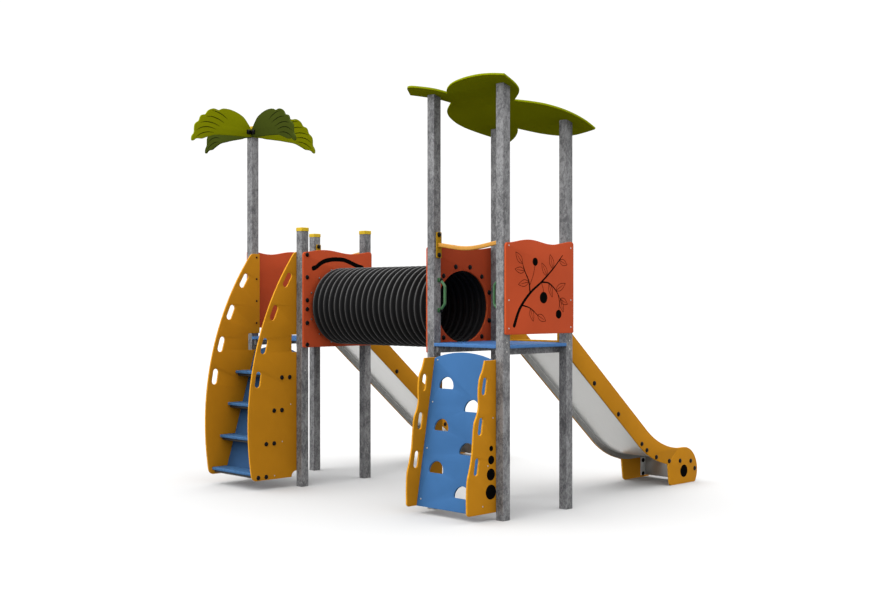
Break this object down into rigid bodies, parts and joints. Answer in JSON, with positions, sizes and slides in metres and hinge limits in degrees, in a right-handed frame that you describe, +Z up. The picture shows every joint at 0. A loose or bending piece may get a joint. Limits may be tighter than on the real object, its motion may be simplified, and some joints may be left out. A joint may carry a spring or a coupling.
{
  "type": "playground structure",
  "caption": "Two square steel-post towers joined by a corrugated crawl tunnel, with a stair, a climbing wall, straight slides, a leaf-shaped roof and a palm.",
  "frame": {"origin": "ground level, under the centre of the whole structure's bounding box", "axes": "+X runs along the tunnel from the palm tower to the roofed tower, +Y from the stair and climbing side to the slides, +Z up"},
  "size_m": [4.6688, 4.0212, 3.9479],
  "materials": {
    "post_steel": "hot-dip galvanised, mottled",
    "frame_steel": "hot-dip galvanised, mottled",
    "slide_steel": "satin stainless sheet",
    "dark_steel": "black coated",
    "post_cap": "moulded, satin",
    "yellow_board": "solid-coloured board, satin",
    "red_board": "solid-coloured board, satin",
    "blue_board": "solid-coloured board, satin",
    "leaf_board": "solid-coloured board, satin",
    "dark_leaf_board": "solid-coloured board, satin",
    "green_grip": "moulded, satin",
    "tunnel_plastic": "corrugated polyethylene"
  },
  "bodies": {
    "root": {"left_post_front_outer": "post_steel", "left_post_front_inner": "post_steel", "left_post_rear_outer": "post_steel", "left_post_rear_inner": "post_steel", "right_post_front_inner": "post_steel", "right_post_front_outer": "post_steel", "right_post_rear_inner": "post_steel", "right_post_rear_outer": "post_steel", "palm_post_cap": "post_cap", "cap_front_inner": "post_cap", "cap_rear_outer": "post_cap", "cap_rear_inner": "post_cap", "deck_left": "blue_board", "deck_right": "blue_board", "deck_frame_left": "frame_steel", "deck_frame_right": "frame_steel", "tunnel_panel_left": "red_board", "tunnel_panel_right": "red_board", "back_panel_left": "red_board", "picture_panel_right": "red_board", "tunnel": "tunnel_plastic", "guard_rail_climb_side": "yellow_board", "guard_rail_slide_left": "yellow_board", "guard_rail_slide_right": "yellow_board", "handle_inner": "green_grip", "handle_outer": "green_grip", "stair_side_outer": "yellow_board", "stair_side_inner": "yellow_board", "tread_1": "blue_board", "tread_2": "blue_board", "tread_3": "blue_board", "tread_4": "blue_board", "tread_rod_1_front": "dark_steel", "tread_rod_1_rear": "dark_steel", "tread_rod_2_front": "dark_steel", "tread_rod_2_rear": "dark_steel", "tread_rod_3_front": "dark_steel", "tread_rod_3_rear": "dark_steel", "tread_rod_4_front": "dark_steel", "tread_rod_4_rear": "dark_steel", "stair_riser_board": "blue_board", "climb_board": "blue_board", "climb_side_inner": "yellow_board", "climb_side_outer": "yellow_board", "slide_bed_left": "slide_steel", "slide_bed_right": "slide_steel", "slide_cheek_left_inner": "yellow_board", "slide_cheek_left_outer": "yellow_board", "slide_cheek_right_inner": "yellow_board", "slide_cheek_right_outer": "yellow_board", "slide_foot_left_inner": "yellow_board", "slide_foot_left_outer": "yellow_board", "slide_foot_right_inner": "yellow_board", "slide_foot_right_outer": "yellow_board", "slide_entry_strip_left": "yellow_board", "slide_entry_strip_right": "yellow_board", "roof": "leaf_board", "palm_leaf_along_y": "leaf_board", "palm_leaf_along_x": "dark_leaf_board", "palm_bracket": "dark_steel"}
  },
  "joints": []
}
